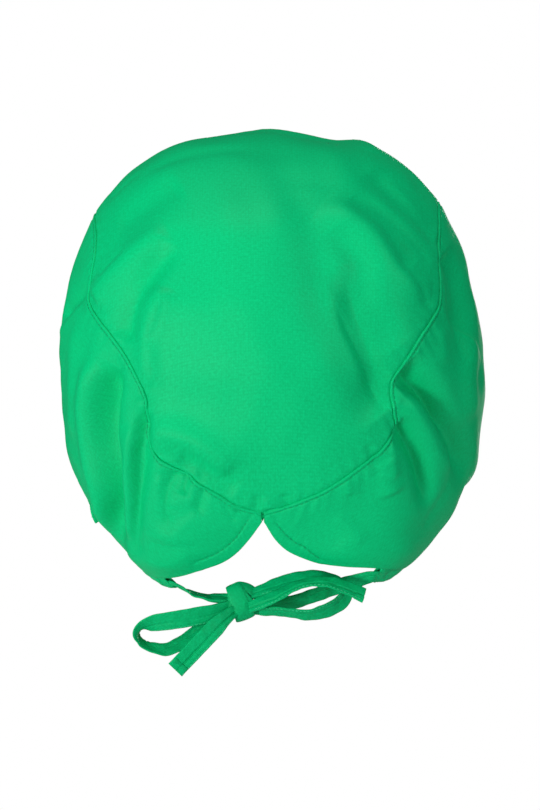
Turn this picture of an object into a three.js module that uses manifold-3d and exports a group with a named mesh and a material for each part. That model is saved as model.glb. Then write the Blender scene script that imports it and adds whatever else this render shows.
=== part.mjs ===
// A tie-back scrub cap: a cloth crown sewn into a side band, with a notch at the nape whose two
// casings give out a pair of tape ties, knotted in a bow. Millimetres, +Z up, the wearer faces +Y.
// The origin is the middle of the head opening.
import * as THREE from 'three';
import Module from 'manifold-3d';

const wasm = await Module();
wasm.setup();

// Driving dimensions
const capHalfWidth = 116;
const capHalfDepth = 120;
const capHalfHeight = 127;
const bagBehindHead = 15;
const bagAboveRim = 59;
const clothWall = 1.2;
const hemWall = 2;
const pieceGap = 0.3;
const edgeGap = 0.8;
const casingWidth = 12;
const casingThickness = 5;
const mouthDepth = 3;
const mouthRoom = 0.8;
const casingWall = 1.1;
const gatherWidth = 8;
const gatherWave = 1.7;
const tieWidth = 11;
const tieThickness = 1.6;
const knotHalfWidth = 8;
const knotHalfHeight = 11.5;
const knotHalfDepth = 6.5;

const colours = { cloth: 0x0cbf72, tape: 0x10b86c };

const smooth = (x) => x * x * (3 - 2 * x);
const clamp = (x, low, high) => Math.min(high, Math.max(low, x));
const radians = THREE.MathUtils.degToRad;

// Radii of the filled-out bag, as shares of an ellipsoid with the three half sizes. A row for each
// elevation in degrees, a column for each way out, from the back round the left to the right.
const bagSections = [
  // up, back, backLeft, left, frontLeft, front, frontRight, right, backRight
  [90, 1, 1, 1, 1, 1, 1, 1, 1],
  [75, 0.985, 0.99, 1, 0.985, 0.975, 0.985, 0.99, 0.985],
  [60, 0.985, 1.02, 1.035, 0.99, 0.95, 0.985, 1.05, 1.025],
  [45, 1, 1.04, 1.045, 0.99, 0.94, 0.985, 1.045, 1.035],
  [30, 1.015, 1.05, 1.015, 0.98, 0.95, 0.975, 1.012, 1.04],
  [15, 1.015, 1.045, 0.998, 0.965, 0.955, 0.965, 0.998, 1.035],
  [0, 1.005, 1.035, 1, 0.955, 0.945, 0.955, 1, 1.035],
  [-15, 1, 1.035, 1.015, 0.94, 0.935, 0.94, 1.03, 1.035],
  [-30, 1.01, 1.07, 1.045, 0.92, 0.92, 0.92, 1.08, 1.085],
  [-40, 1.03, 1.12, 1.04, 0.9, 0.9, 0.9, 1.06, 1.145],
  [-50, 1.06, 1.175, 1.01, 0.88, 0.88, 0.88, 1.01, 1.205],
  [-60, 1.08, 1.18, 0.98, 0.86, 0.86, 0.86, 0.96, 1.14],
  [-70, 1.08, 1.14, 0.95, 0.85, 0.85, 0.85, 0.93, 1.06],
].reverse();
const waysOut = bagSections[0].length - 1;
const wayStep = 360 / waysOut;

// Folds of the cloth: height and breadth as shares of the half width, a valley's height below 0,
// then the fold's path in degrees round (left is below 0) and up.
const folds = [
  // height, breadth, path
  [0.022, 0.09, [[-31, 32], [-47, 20], [-52, 14]]],
  [-0.03, 0.075, [[-29, 29], [-37, 14], [-40, 6]]],
  [0.022, 0.06, [[-28, 15], [-30, 10], [-33, 3], [-33, -3]]],
  [-0.016, 0.1, [[-34, 47], [-53, 34]]],
  [-0.045, 0.125, [[14, 46], [13, 25], [20, 7], [28, -8], [32, -14]]],
  [0.03, 0.09, [[17, 41], [26, 35], [32, 27], [38, 20], [47, 16]]],
  [-0.026, 0.07, [[20, 34], [24, 25], [28, 12], [34, 2]]],
  [-0.022, 0.07, [[28, 43], [35, 36], [38, 29], [42, 23]]],
  [-0.026, 0.09, [[43, 52], [49, 41], [59, 32]]],
  [0.022, 0.09, [[-32, -19], [-22, -23], [-14, -28]]],
  [-0.026, 0.075, [[-15, -25], [-11, -30], [-4, -38]]],
  [0.045, 0.2, [[-125, 72], [-180, 66], [-212, 70]]],
  [-0.02, 0.11, [[-100, 80], [0, 84], [90, 76]]],
  [0.02, 0.08, [[98, 68], [76, 65], [60, 60]]],
  [-0.026, 0.07, [[-58, 18], [-77, 11]]],
  [0.02, 0.08, [[-62, 8], [-66, -20]]],
  [-0.03, 0.11, [[-44, -4], [-53, -24], [-51, -32], [-62, -47]]],
  [0.026, 0.07, [[-38, -15], [-43, -32], [-48, -46]]],
  [-0.032, 0.06, [[-35, -13], [-37, -24], [-41, -35], [-47, -47]]],
  [0.022, 0.13, [[-29, -30], [-33, -46]]],
  [-0.018, 0.05, [[-26, -29], [-29, -36], [-26, -41]]],
  [0.022, 0.07, [[-62, -48], [-42, -50], [-26, -49]]],
  [-0.034, 0.11, [[64, 21], [61, 8]]],
  [-0.018, 0.08, [[67, 4], [69, -16]]],
  [-0.042, 0.1, [[35, -4], [42, -9], [50, -18], [56, -26], [73, -31]]],
  [0.03, 0.08, [[38, -12], [45, -21], [50, -29]]],
  [-0.034, 0.06, [[35, -18], [39, -23], [44, -29], [48, -34]]],
  [0.022, 0.07, [[31, -26], [36, -34]]],
  [-0.03, 0.08, [[74, -35], [97, -38]]],
  [0.05, 0.12, [[-94, -42], [-108, -35]]],
  [0.02, 0.12, [[90, -42], [106, -34]]],
  [0.018, 0.1, [[-150, 32], [-158, 52]]],
  [0.018, 0.1, [[150, 32], [158, 52]]],
  [-0.016, 0.09, [[-168, 32], [-175, 55]]],
  [-0.016, 0.09, [[132, 36], [140, 55]]],
  [-0.016, 0.09, [[-128, 38], [-138, 58]]],
];
const foldSteps = 6;
const foldFade = 0.28;
const foldEnd = 0.3;
const seamStep = 0.2;

// The seam of crown and band and the band's lower edge, a row for each station round the cap in
// degrees round and up, from the notch at the nape to the middle of the brow.
const leftStations = [
  // seam round, seam up, edge round, edge up
  [-2.8, -41, -2.8, -43.4],
  [-10, -39, -7, -47.5],
  [-15, -36, -12, -51],
  [-20, -33, -18, -53],
  [-26, -29, -26, -53.6],
  [-32, -25, -36, -54.2],
  [-35, -21, -45, -54.5],
  [-34.5, -16, -53, -54.5],
  [-33.5, -10, -61, -54],
  [-37, -3, -69, -53],
  [-44, 5, -77, -50],
  [-49, 9, -85, -46],
  [-56, 15, -92, -42],
  [-57, 20, -100, -38],
  [-59, 27, -108, -33],
  [-67, 34, -116, -28],
  [-82, 39, -126, -21],
  [-102, 40, -140, -12],
  [-130, 36, -158, -5],
  [-155, 31, -170, -1],
  [-180, 29, -180, 0],
];
const rightStations = [
  [-2.2, -41, -2, -43.6],
  [5, -39, 1.5, -48],
  [12, -36, 6, -51],
  [16, -34, 12, -52.4],
  [22, -30, 19, -52.8],
  [26, -27, 26, -51.8],
  [30, -24, 33, -50.6],
  [33, -21, 39, -50.2],
  [35, -18, 46, -50.6],
  [33.5, -13, 54, -51.6],
  [34, -6, 62, -52.4],
  [36, -2, 69, -52],
  [40, 4, 77, -50],
  [45, 9, 85, -46],
  [49, 13, 92, -42],
  [51.5, 18, 98, -39],
  [54.5, 24, 104, -35],
  [60, 31, 111, -31],
  [70, 39, 119, -26],
  [85, 43, 129, -19],
  [105, 42, 143, -12],
  [130, 37, 159, -5],
  [155, 31, 170, -1],
];
const turned = ([seamRound, seamUp, edgeRound, edgeUp]) => [seamRound - 360, seamUp, edgeRound - 360, edgeUp];
const stations = [...leftStations, ...rightStations.reverse().map(turned)];
const columnsPerStation = 2;
const crownRows = 14;
const bandRows = 10;

// Spans of the two casings and the two elastic gathers, in degrees round the lower edge.
const casingSpans = { left: [-43, -79], right: [39, 78] };
const gatherSpans = { left: [-81, -112], right: [80, 110] };
const gatherPuckers = 7;

// Chosen routes of the ties: x, y and z, then the tape's turn in degrees, 0 flat to the back.
const knotPlace = [-16.5, -86, -73.5];
const tieRoutes = {
  left_tie_lead: [[-39, -76, -70, 60], [-33, -79.5, -70, 55], [-27, -82, -70.4, 55], [-18, -85, -71.5, 50]],
  right_tie_lead: [[36, -80, -64.5, 20], [27, -81, -68, 15], [12, -79.5, -73, 12], [-2, -80, -76, 12],
    [-14, -83, -76.5, 12]],
  left_loop: [[-22, -89, -74.5, 20], [-33, -95, -78.6, 15], [-49, -98, -81.6, 15], [-62, -97, -83.6, 25],
    [-69.5, -93.5, -86.4, 50], [-71.5, -90, -90.6, 62], [-69.5, -88, -94.6, 58], [-63.5, -87, -97.4, 55],
    [-55, -86, -98.2, 50], [-45.5, -84.5, -93.5, 45], [-34, -85, -85.5, 35], [-24, -88, -80.5, 20]],
  right_loop: [[-12, -87, -69.5, 40], [-2, -89, -65.5, 45], [11, -89, -61.2, 45], [24, -89.5, -59.5, 45],
    [34.5, -88.5, -62, 55], [40, -87.5, -67.5, 60], [37.5, -88, -73, 60], [30, -89.5, -77, 65],
    [20, -91, -79.3, 70], [7, -91, -77.8, 65], [-6, -89, -77, 50]],
  left_tail: [[-19, -90, -77, 10], [-25.5, -97, -82, 5], [-33, -101.5, -89.6, 5], [-41, -103, -98, 10],
    [-51, -103.5, -108.4, 15]],
  right_tail: [[-11, -94, -75.5, 35], [2, -99.5, -69.8, 55], [16, -99.5, -63, 65], [29, -100.5, -61.6, 60],
    [40.5, -100, -64.8, 50], [50, -98.5, -69, 45]],
};
const tieSteps = 16;

// Where a table is read between its rows, the curve runs smoothly through them.
function throughRows(rows, place, column) {
  const i = clamp(Math.floor(place), 0, rows.length - 2);
  const at = (n) => rows[clamp(n, 0, rows.length - 1)][column];
  const t = place - i;
  const before = at(i - 1);
  const here = at(i);
  const next = at(i + 1);
  const after = at(i + 2);
  const bend = 2 * before - 5 * here + 4 * next - after;
  return here + 0.5 * t * (next - before + t * (bend + t * (3 * (here - next) + after - before)));
}

function shareAt(round, up) {
  const rising = bagSections.map((row) => row[0]);
  let i = rising.findIndex((edge) => up < edge) - 1;
  i = i < -1 ? rising.length - 2 : Math.max(i, 0);
  const t = clamp((up - rising[i]) / (rising[i + 1] - rising[i]), 0, 1);
  const place = (((-round / wayStep) % waysOut) + waysOut) % waysOut;
  const first = Math.floor(place);
  const ring = [-1, 0, 1, 2].map((n) => {
    const column = 1 + ((first + n + waysOut) % waysOut);
    return [throughRows(bagSections, i + t, column)];
  });
  return throughRows(ring, 1 + place - first, 0);
}

const bagMiddle = new THREE.Vector3(0, -bagBehindHead, bagAboveRim);

function wayAt(round, up) {
  const a = radians(round);
  const e = radians(up);
  return new THREE.Vector3(Math.cos(e) * Math.sin(a), -Math.cos(e) * Math.cos(a), Math.sin(e));
}

function plainRadius(round, up) {
  const way = wayAt(round, up);
  const length = Math.hypot(way.x / capHalfWidth, way.y / capHalfDepth, way.z / capHalfHeight);
  return shareAt(round, up) / length;
}

const plainPoint = (round, up) => wayAt(round, up).multiplyScalar(plainRadius(round, up)).add(bagMiddle);

// Each fold's path, laid on the plain form.
const foldLines = folds.map(([height, breadth, path]) => {
  const line = [];
  const last = (path.length - 1) * foldSteps;
  for (let n = 0; n <= last; n += 1) {
    const place = n / foldSteps;
    line.push(plainPoint(throughRows(path, place, 0), throughRows(path, place, 1)));
  }
  return { height: height * capHalfWidth, breadth: breadth * capHalfWidth, line };
});

function foldHeight(point) {
  let total = 0;
  for (const { height, breadth, line } of foldLines) {
    let nearest = Infinity;
    let place = 0;
    for (let n = 0; n < line.length; n += 1) {
      const distance = line[n].distanceToSquared(point);
      if (distance < nearest) {
        nearest = distance;
        place = n / (line.length - 1);
      }
    }
    const fade = smooth(clamp(Math.min(place, 1 - place) / foldFade + foldEnd, 0, 1));
    total += height * fade * Math.exp(-nearest / (breadth * breadth));
  }
  return total;
}

function clothPoint(round, up) {
  const plain = plainPoint(round, up);
  return plain.addScaledVector(wayAt(round, up), foldHeight(plain));
}

// The cloth's outward normal, from the plain form's slopes.
function clothNormal(round, up) {
  const step = 1.5;
  const top = 90 - step;
  const level = Math.min(up, top);
  const across = clothPoint(round + step, level).sub(clothPoint(round - step, level));
  const rise = clothPoint(round, level + step).sub(clothPoint(round, level - step));
  return across.cross(rise).normalize();
}

// A closed body between an outer and an inner grid of points, each a list of columns.
function gridBody(outer, inner, { ring = false, tip = null }) {
  const columns = outer.length;
  const rows = outer[0].length;
  const corners = [...outer.flat(), ...inner.flat()];
  const layer = columns * rows;
  const faces = [];
  const spot = (c, r, side) => side * layer + (c % columns) * rows + r;
  const quad = (a, b, c, d) => faces.push(a, b, c, a, c, d);
  const spans = ring ? columns : columns - 1;
  for (let c = 0; c < spans; c += 1) {
    for (let r = 0; r < rows - 1; r += 1) {
      quad(spot(c, r, 0), spot(c + 1, r, 0), spot(c + 1, r + 1, 0), spot(c, r + 1, 0));
      quad(spot(c, r, 1), spot(c, r + 1, 1), spot(c + 1, r + 1, 1), spot(c + 1, r, 1));
    }
    quad(spot(c, 0, 1), spot(c + 1, 0, 1), spot(c + 1, 0, 0), spot(c, 0, 0));
    if (tip) {
      faces.push(spot(c, rows - 1, 0), spot(c + 1, rows - 1, 0), 2 * layer);
      faces.push(spot(c + 1, rows - 1, 1), spot(c, rows - 1, 1), 2 * layer + 1);
    } else {
      quad(spot(c, rows - 1, 0), spot(c + 1, rows - 1, 0), spot(c + 1, rows - 1, 1), spot(c, rows - 1, 1));
    }
  }
  if (!ring) {
    for (let r = 0; r < rows - 1; r += 1) {
      quad(spot(0, r, 0), spot(0, r + 1, 0), spot(0, r + 1, 1), spot(0, r, 1));
      quad(spot(spans, r, 1), spot(spans, r + 1, 1), spot(spans, r + 1, 0), spot(spans, r, 0));
    }
  }
  if (tip) corners.push(...tip);
  return closedGeometry(corners, faces);
}

function closedGeometry(corners, faces) {
  const geometry = new THREE.BufferGeometry();
  geometry.setAttribute('position', new THREE.Float32BufferAttribute(corners.flatMap((p) => p.toArray()), 3));
  geometry.setIndex(faces);
  let volume = 0;
  for (let n = 0; n < faces.length; n += 3) {
    const [a, b, c] = [corners[faces[n]], corners[faces[n + 1]], corners[faces[n + 2]]];
    volume += a.dot(b.clone().cross(c));
  }
  if (volume < 0) {
    for (let n = 0; n < faces.length; n += 3) [faces[n], faces[n + 1]] = [faces[n + 1], faces[n]];
    geometry.setIndex(faces);
  }
  geometry.computeVertexNormals();
  return geometry;
}

// Half a gap off the seam, towards the crown for side 1 or the band for side -1.
function seamShift(place, side) {
  const at = (spot) => [throughRows(stations, spot, 0), throughRows(stations, spot, 1)];
  const before = clothPoint(...at(Math.max(place - seamStep, 0)));
  const after = clothPoint(...at(Math.min(place + seamStep, stations.length - 1)));
  const normal = clothNormal(...at(place));
  const aside = after.sub(before).cross(normal).normalize();
  const [round, up] = at(place);
  const rise = clothPoint(round, up + 1).sub(clothPoint(round, up - 1));
  if (aside.dot(rise) < 0) aside.negate();
  return aside.multiplyScalar((side * pieceGap) / 2);
}

const stationPlaces = [];
for (let n = 0; n <= (stations.length - 1) * columnsPerStation; n += 1) stationPlaces.push(n / columnsPerStation);

// The crown runs from the seam to the top, the band from the seam to the lower edge.
function crownPanel() {
  const outer = [];
  const inner = [];
  const lastPlace = stations.length - 1;
  for (const place of stationPlaces) {
    const seamRound = throughRows(stations, place, 0);
    const seamUp = throughRows(stations, place, 1);
    const evenRound = stations[0][0] - (360 * place) / lastPlace;
    const topRound = 0.65 * seamRound + 0.35 * evenRound;
    const outerColumn = [];
    const innerColumn = [];
    for (let row = 0; row < crownRows; row += 1) {
      const t = row / crownRows;
      const round = THREE.MathUtils.lerp(seamRound, topRound, 1 - (1 - t) ** 3);
      const up = THREE.MathUtils.lerp(seamUp, 90, t);
      addWall(outerColumn, innerColumn, round, up, clothWall, row === 0 ? seamShift(place, 1) : null);
    }
    outer.push(outerColumn);
    inner.push(innerColumn);
  }
  const top = clothPoint(0, 90);
  const tip = [top, top.clone().add(new THREE.Vector3(0, 0, -clothWall))];
  return gridBody(outer, inner, { ring: true, tip });
}

function addWall(outerColumn, innerColumn, round, up, wall, shift) {
  const point = clothPoint(round, up);
  if (shift) point.add(shift);
  outerColumn.push(point);
  innerColumn.push(point.clone().addScaledVector(clothNormal(round, up), -wall));
}

function sideBand() {
  const outer = [];
  const inner = [];
  for (const place of stationPlaces) {
    const [seamRound, seamUp, edgeRound, edgeUp] = [0, 1, 2, 3].map((c) => throughRows(stations, place, c));
    const outerColumn = [];
    const innerColumn = [];
    for (let row = 0; row <= bandRows; row += 1) {
      const t = row / bandRows;
      const round = THREE.MathUtils.lerp(seamRound, edgeRound, t ** 1.5);
      const up = THREE.MathUtils.lerp(seamUp, edgeUp, t);
      const wall = row >= bandRows - 1 ? hemWall : clothWall;
      addWall(outerColumn, innerColumn, round, up, wall, row === 0 ? seamShift(place, -1) : null);
    }
    outer.push(outerColumn);
    inner.push(innerColumn);
  }
  return gridBody(outer, inner, {});
}

// The lower edge at an angle round the cap, with the cloth's direction on past it.
function edgeFrame(round) {
  const wanted = round > 0 ? round - 360 : round;
  let low = 0;
  let high = stations.length - 1;
  for (let n = 0; n < 40; n += 1) {
    const middle = (low + high) / 2;
    if (throughRows(stations, middle, 2) > wanted) low = middle;
    else high = middle;
  }
  const up = throughRows(stations, low, 3);
  const point = clothPoint(wanted, up);
  const normal = clothNormal(wanted, up);
  const step = 1.5;
  const up2 = throughRows(stations, low + 0.1, 3);
  const round2 = throughRows(stations, low + 0.1, 2);
  const along = clothPoint(round2, up2).sub(point).normalize();
  const down = clothPoint(wanted, up - step).sub(point);
  down.addScaledVector(along, -down.dot(along)).normalize();
  return { point, normal, down, along };
}

function casingFrame(round) {
  const { point, normal, down } = edgeFrame(round);
  const middle = point.clone().addScaledVector(down, edgeGap + casingWidth / 2);
  middle.addScaledVector(normal, -hemWall / 2);
  return { middle, normal, down };
}

// A casing is a flat tunnel of cloth hung on the lower edge, open at both ends.
function casing([start, end]) {
  const steps = 8;
  const sides = 10;
  const outer = [];
  const inner = [];
  for (let n = 0; n <= steps; n += 1) {
    const { middle, normal, down } = casingFrame(THREE.MathUtils.lerp(start, end, n / steps));
    const oval = (halfWidth, halfThickness) => Array.from({ length: sides }, (_, k) => {
      const a = (2 * Math.PI * k) / sides;
      const spot = middle.clone().addScaledVector(down, halfWidth * Math.cos(a));
      return spot.addScaledVector(normal, halfThickness * Math.sin(a));
    });
    outer.push(oval(casingWidth / 2, casingThickness / 2));
    inner.push(oval(casingWidth / 2 - casingWall, casingThickness / 2 - casingWall));
  }
  return tunnelBody(outer, inner);
}

function tunnelBody(outer, inner) {
  const sections = outer.length;
  const sides = outer[0].length;
  const layer = sections * sides;
  const spot = (s, k, side) => side * layer + s * sides + (k % sides);
  const faces = [];
  const quad = (a, b, c, d) => faces.push(a, b, c, a, c, d);
  for (let k = 0; k < sides; k += 1) {
    for (let s = 0; s < sections - 1; s += 1) {
      quad(spot(s, k, 0), spot(s, k + 1, 0), spot(s + 1, k + 1, 0), spot(s + 1, k, 0));
      quad(spot(s, k, 1), spot(s + 1, k, 1), spot(s + 1, k + 1, 1), spot(s, k + 1, 1));
    }
    const last = sections - 1;
    quad(spot(0, k, 1), spot(0, k + 1, 1), spot(0, k + 1, 0), spot(0, k, 0));
    quad(spot(last, k, 0), spot(last, k + 1, 0), spot(last, k + 1, 1), spot(last, k, 1));
  }
  return closedGeometry([...outer.flat(), ...inner.flat()], faces);
}

// An elastic gather is a ruffled strip of hem below the lower edge, behind the ear.
function gather([start, end]) {
  const steps = gatherPuckers * 4;
  const outer = [];
  const inner = [];
  for (let n = 0; n <= steps; n += 1) {
    const share = n / steps;
    const { point, normal, down } = edgeFrame(THREE.MathUtils.lerp(start, end, share));
    const wave = gatherWave * Math.sin(2 * Math.PI * gatherPuckers * share);
    const outerColumn = [];
    const innerColumn = [];
    for (let row = 0; row <= 2; row += 1) {
      const spot = point.clone().addScaledVector(down, edgeGap + (gatherWidth * row) / 2);
      spot.addScaledVector(normal, wave * (0.25 + 0.375 * row));
      outerColumn.push(spot);
      innerColumn.push(spot.clone().addScaledVector(normal, -hemWall));
    }
    outer.push(outerColumn);
    inner.push(innerColumn);
  }
  return gridBody(outer, inner, {});
}

// The middle of a casing's mouth, with two points that lead the tape straight out of it.
function mouthOf([start, end]) {
  const { middle, down } = casingFrame(start);
  const out = middle.clone().sub(casingFrame(THREE.MathUtils.lerp(start, end, 1 / 8)).middle).normalize();
  const points = [-mouthDepth, mouthDepth].map((run) => middle.clone().addScaledVector(out, run));
  return { points, down };
}

// A tape tie is a flat folded tape swept along its route, six-sided in section. In a casing's mouth
// it lies flat and drawn narrow.
function tape(chosen, mouth) {
  const narrow = (casingWidth - 2 * casingWall - 2 * mouthRoom) / tieWidth;
  const led = mouth ? mouth.points.map((p) => [p.x, p.y, p.z, chosen[0][3]]) : [];
  const route = [...led, ...chosen];
  const curve = new THREE.CatmullRomCurve3(route.map(([x, y, z]) => new THREE.Vector3(x, y, z)));
  const back = new THREE.Vector3(0, 1, 0);
  const section = [[0.5, 0], [0.36, 0.5], [-0.36, 0.5], [-0.5, 0], [-0.36, -0.5], [0.36, -0.5]];
  const corners = [];
  for (let n = 0; n <= tieSteps; n += 1) {
    const t = n / tieSteps;
    const middle = curve.getPoint(t);
    const along = curve.getTangent(t);
    const turn = radians(throughRows(route, t * (route.length - 1), 3));
    const level = along.clone().cross(back).normalize();
    const deep = level.clone().cross(along).normalize();
    const across = level.clone().multiplyScalar(Math.cos(turn)).addScaledVector(deep, Math.sin(turn));
    const freed = mouth ? smooth(clamp((t * (route.length - 1) - 1) / 1.2, 0, 1)) : 1;
    if (mouth) {
      const flat = mouth.down.clone().multiplyScalar(Math.sign(mouth.down.dot(across)) || 1);
      across.multiplyScalar(freed).addScaledVector(flat, 1 - freed);
      across.addScaledVector(along, -across.dot(along)).normalize();
    }
    const width = tieWidth * THREE.MathUtils.lerp(narrow, 1, freed);
    const thick = across.clone().cross(along).normalize();
    for (const [w, h] of section) {
      const corner = middle.clone().addScaledVector(across, w * width);
      corners.push(corner.addScaledVector(thick, h * tieThickness));
    }
  }
  const sides = section.length;
  const faces = [];
  for (let n = 0; n < tieSteps; n += 1) {
    for (let k = 0; k < sides; k += 1) {
      const [a, b] = [n * sides + k, n * sides + ((k + 1) % sides)];
      faces.push(a, b, b + sides, a, b + sides, a + sides);
    }
  }
  const last = tieSteps * sides;
  for (let k = 1; k < sides - 1; k += 1) faces.push(0, k + 1, k, last, last + k, last + k + 1);
  return closedGeometry(corners, faces);
}

// The knot is a plump turn of tape, leaning as the tie pulls it.
function knotForm(grown) {
  const shape = new THREE.SphereGeometry(1, 12, 8);
  shape.deleteAttribute('normal');
  shape.deleteAttribute('uv');
  shape.scale(knotHalfWidth + grown, knotHalfDepth + grown, knotHalfHeight + grown);
  shape.rotateY(radians(-24));
  shape.translate(...knotPlace);
  return shape;
}

function toSolid(geometry) {
  const merged = new Map();
  const position = geometry.getAttribute('position');
  const points = [];
  const renamed = [];
  for (let n = 0; n < position.count; n += 1) {
    const key = [position.getX(n), position.getY(n), position.getZ(n)].map((v) => v.toFixed(4)).join();
    if (!merged.has(key)) {
      merged.set(key, points.length / 3);
      points.push(position.getX(n), position.getY(n), position.getZ(n));
    }
    renamed.push(merged.get(key));
  }
  const faces = [];
  const index = geometry.getIndex().array;
  for (let n = 0; n < index.length; n += 3) {
    const [a, b, c] = [renamed[index[n]], renamed[index[n + 1]], renamed[index[n + 2]]];
    if (a !== b && b !== c && a !== c) faces.push(a, b, c);
  }
  const mesh = new wasm.Mesh({
    numProp: 3,
    vertProperties: new Float32Array(points),
    triVerts: new Uint32Array(faces),
  });
  return new wasm.Manifold(mesh);
}

function toGeometry(solid) {
  const { vertProperties, triVerts, numProp } = solid.getMesh();
  const geometry = new THREE.BufferGeometry();
  const points = [];
  for (let n = 0; n < vertProperties.length; n += numProp) points.push(...vertProperties.slice(n, n + 3));
  geometry.setAttribute('position', new THREE.Float32BufferAttribute(points, 3));
  geometry.setIndex([...triVerts]);
  geometry.computeVertexNormals();
  return geometry;
}

const group = new THREE.Group();

function addPiece(name, geometry, colour, roughness) {
  const material = new THREE.MeshStandardMaterial({ color: colour, roughness, metalness: 0, side: THREE.DoubleSide });
  const mesh = new THREE.Mesh(geometry, material);
  mesh.name = name;
  group.add(mesh);
}

addPiece('crown_panel', crownPanel(), colours.cloth, 0.85);
addPiece('side_band', sideBand(), colours.cloth, 0.85);
for (const side of ['left', 'right']) {
  addPiece(`${side}_tie_casing`, casing(casingSpans[side]), colours.cloth, 0.85);
  addPiece(`${side}_elastic_gather`, gather(gatherSpans[side]), colours.cloth, 0.85);
}
addPiece('knot', knotForm(0), colours.tape, 0.8);

// Each tape ends at the knot's surface, a small gap off it.
const knotRoom = toSolid(knotForm(pieceGap));
for (const [name, route] of Object.entries(tieRoutes)) {
  const side = name.split('_')[0];
  const mouth = name.endsWith('lead') ? mouthOf(casingSpans[side]) : null;
  addPiece(name, toGeometry(toSolid(tape(route, mouth)).subtract(knotRoom)), colours.tape, 0.8);
}

export default group;
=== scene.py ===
# A tie-back scrub cap seen from behind: poplin crown and band, elastic gathers and a taped bow.
import math

import bmesh
import bpy
import numpy as np
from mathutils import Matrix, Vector


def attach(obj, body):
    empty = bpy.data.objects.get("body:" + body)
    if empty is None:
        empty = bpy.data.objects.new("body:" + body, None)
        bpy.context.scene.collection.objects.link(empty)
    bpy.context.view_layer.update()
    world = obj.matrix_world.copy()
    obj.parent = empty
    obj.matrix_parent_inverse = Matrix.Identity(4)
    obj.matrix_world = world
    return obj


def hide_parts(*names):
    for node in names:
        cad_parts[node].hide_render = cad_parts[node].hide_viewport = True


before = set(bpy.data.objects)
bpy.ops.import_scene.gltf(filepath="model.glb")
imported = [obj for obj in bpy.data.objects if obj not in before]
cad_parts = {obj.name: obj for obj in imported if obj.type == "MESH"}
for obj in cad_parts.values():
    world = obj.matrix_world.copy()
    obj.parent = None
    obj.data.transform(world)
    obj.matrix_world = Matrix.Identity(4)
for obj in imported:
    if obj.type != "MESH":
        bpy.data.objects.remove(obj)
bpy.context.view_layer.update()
mm = 0.001
print("frame loaded")

# The camera stands where the photograph was taken from, level with the middle of the crown.
shot = {"across": -0.0003, "height": 0.033, "distance": 3.0, "planeBack": -0.015, "frameHeight": 0.4455}


def makeCamera():
    data = bpy.data.cameras.new("camera")
    data.sensor_fit = "VERTICAL"
    data.lens = data.sensor_height * shot["distance"] / shot["frameHeight"]
    data.clip_end = 50
    camera = bpy.data.objects.new("camera", data)
    camera.location = (shot["across"], shot["planeBack"] - shot["distance"], shot["height"])
    camera.rotation_euler = (math.pi / 2, 0, 0)
    bpy.context.scene.collection.objects.link(camera)
    bpy.context.scene.camera = camera


makeCamera()

# Form of the cap, in the same shares as the model that the frame holds
form = {"halfWidth": 116 * mm, "halfDepth": 120 * mm, "halfHeight": 127 * mm,
        "middle": np.array([0, -15, 59]) * mm, "edgeGap": 0.8 * mm}

# up, then radius shares: back, backLeft, left, frontLeft, front, frontRight, right, backRight
bagSections = np.array([
    [90, 1, 1, 1, 1, 1, 1, 1, 1],
    [75, 0.985, 0.99, 1, 0.985, 0.975, 0.985, 0.99, 0.985],
    [60, 0.985, 1.02, 1.035, 0.99, 0.95, 0.985, 1.05, 1.025],
    [45, 1, 1.04, 1.045, 0.99, 0.94, 0.985, 1.045, 1.035],
    [30, 1.015, 1.05, 1.015, 0.98, 0.95, 0.975, 1.012, 1.04],
    [15, 1.015, 1.045, 0.998, 0.965, 0.955, 0.965, 0.998, 1.035],
    [0, 1.005, 1.035, 1, 0.955, 0.945, 0.955, 1, 1.035],
    [-15, 1, 1.035, 1.015, 0.94, 0.935, 0.94, 1.03, 1.035],
    [-30, 1.01, 1.07, 1.045, 0.92, 0.92, 0.92, 1.08, 1.085],
    [-40, 1.03, 1.12, 1.04, 0.9, 0.9, 0.9, 1.06, 1.145],
    [-50, 1.06, 1.175, 1.01, 0.88, 0.88, 0.88, 1.01, 1.205],
    [-60, 1.08, 1.18, 0.98, 0.86, 0.86, 0.86, 0.96, 1.14],
    [-70, 1.08, 1.14, 0.95, 0.85, 0.85, 0.85, 0.93, 1.06],
][::-1])

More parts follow.
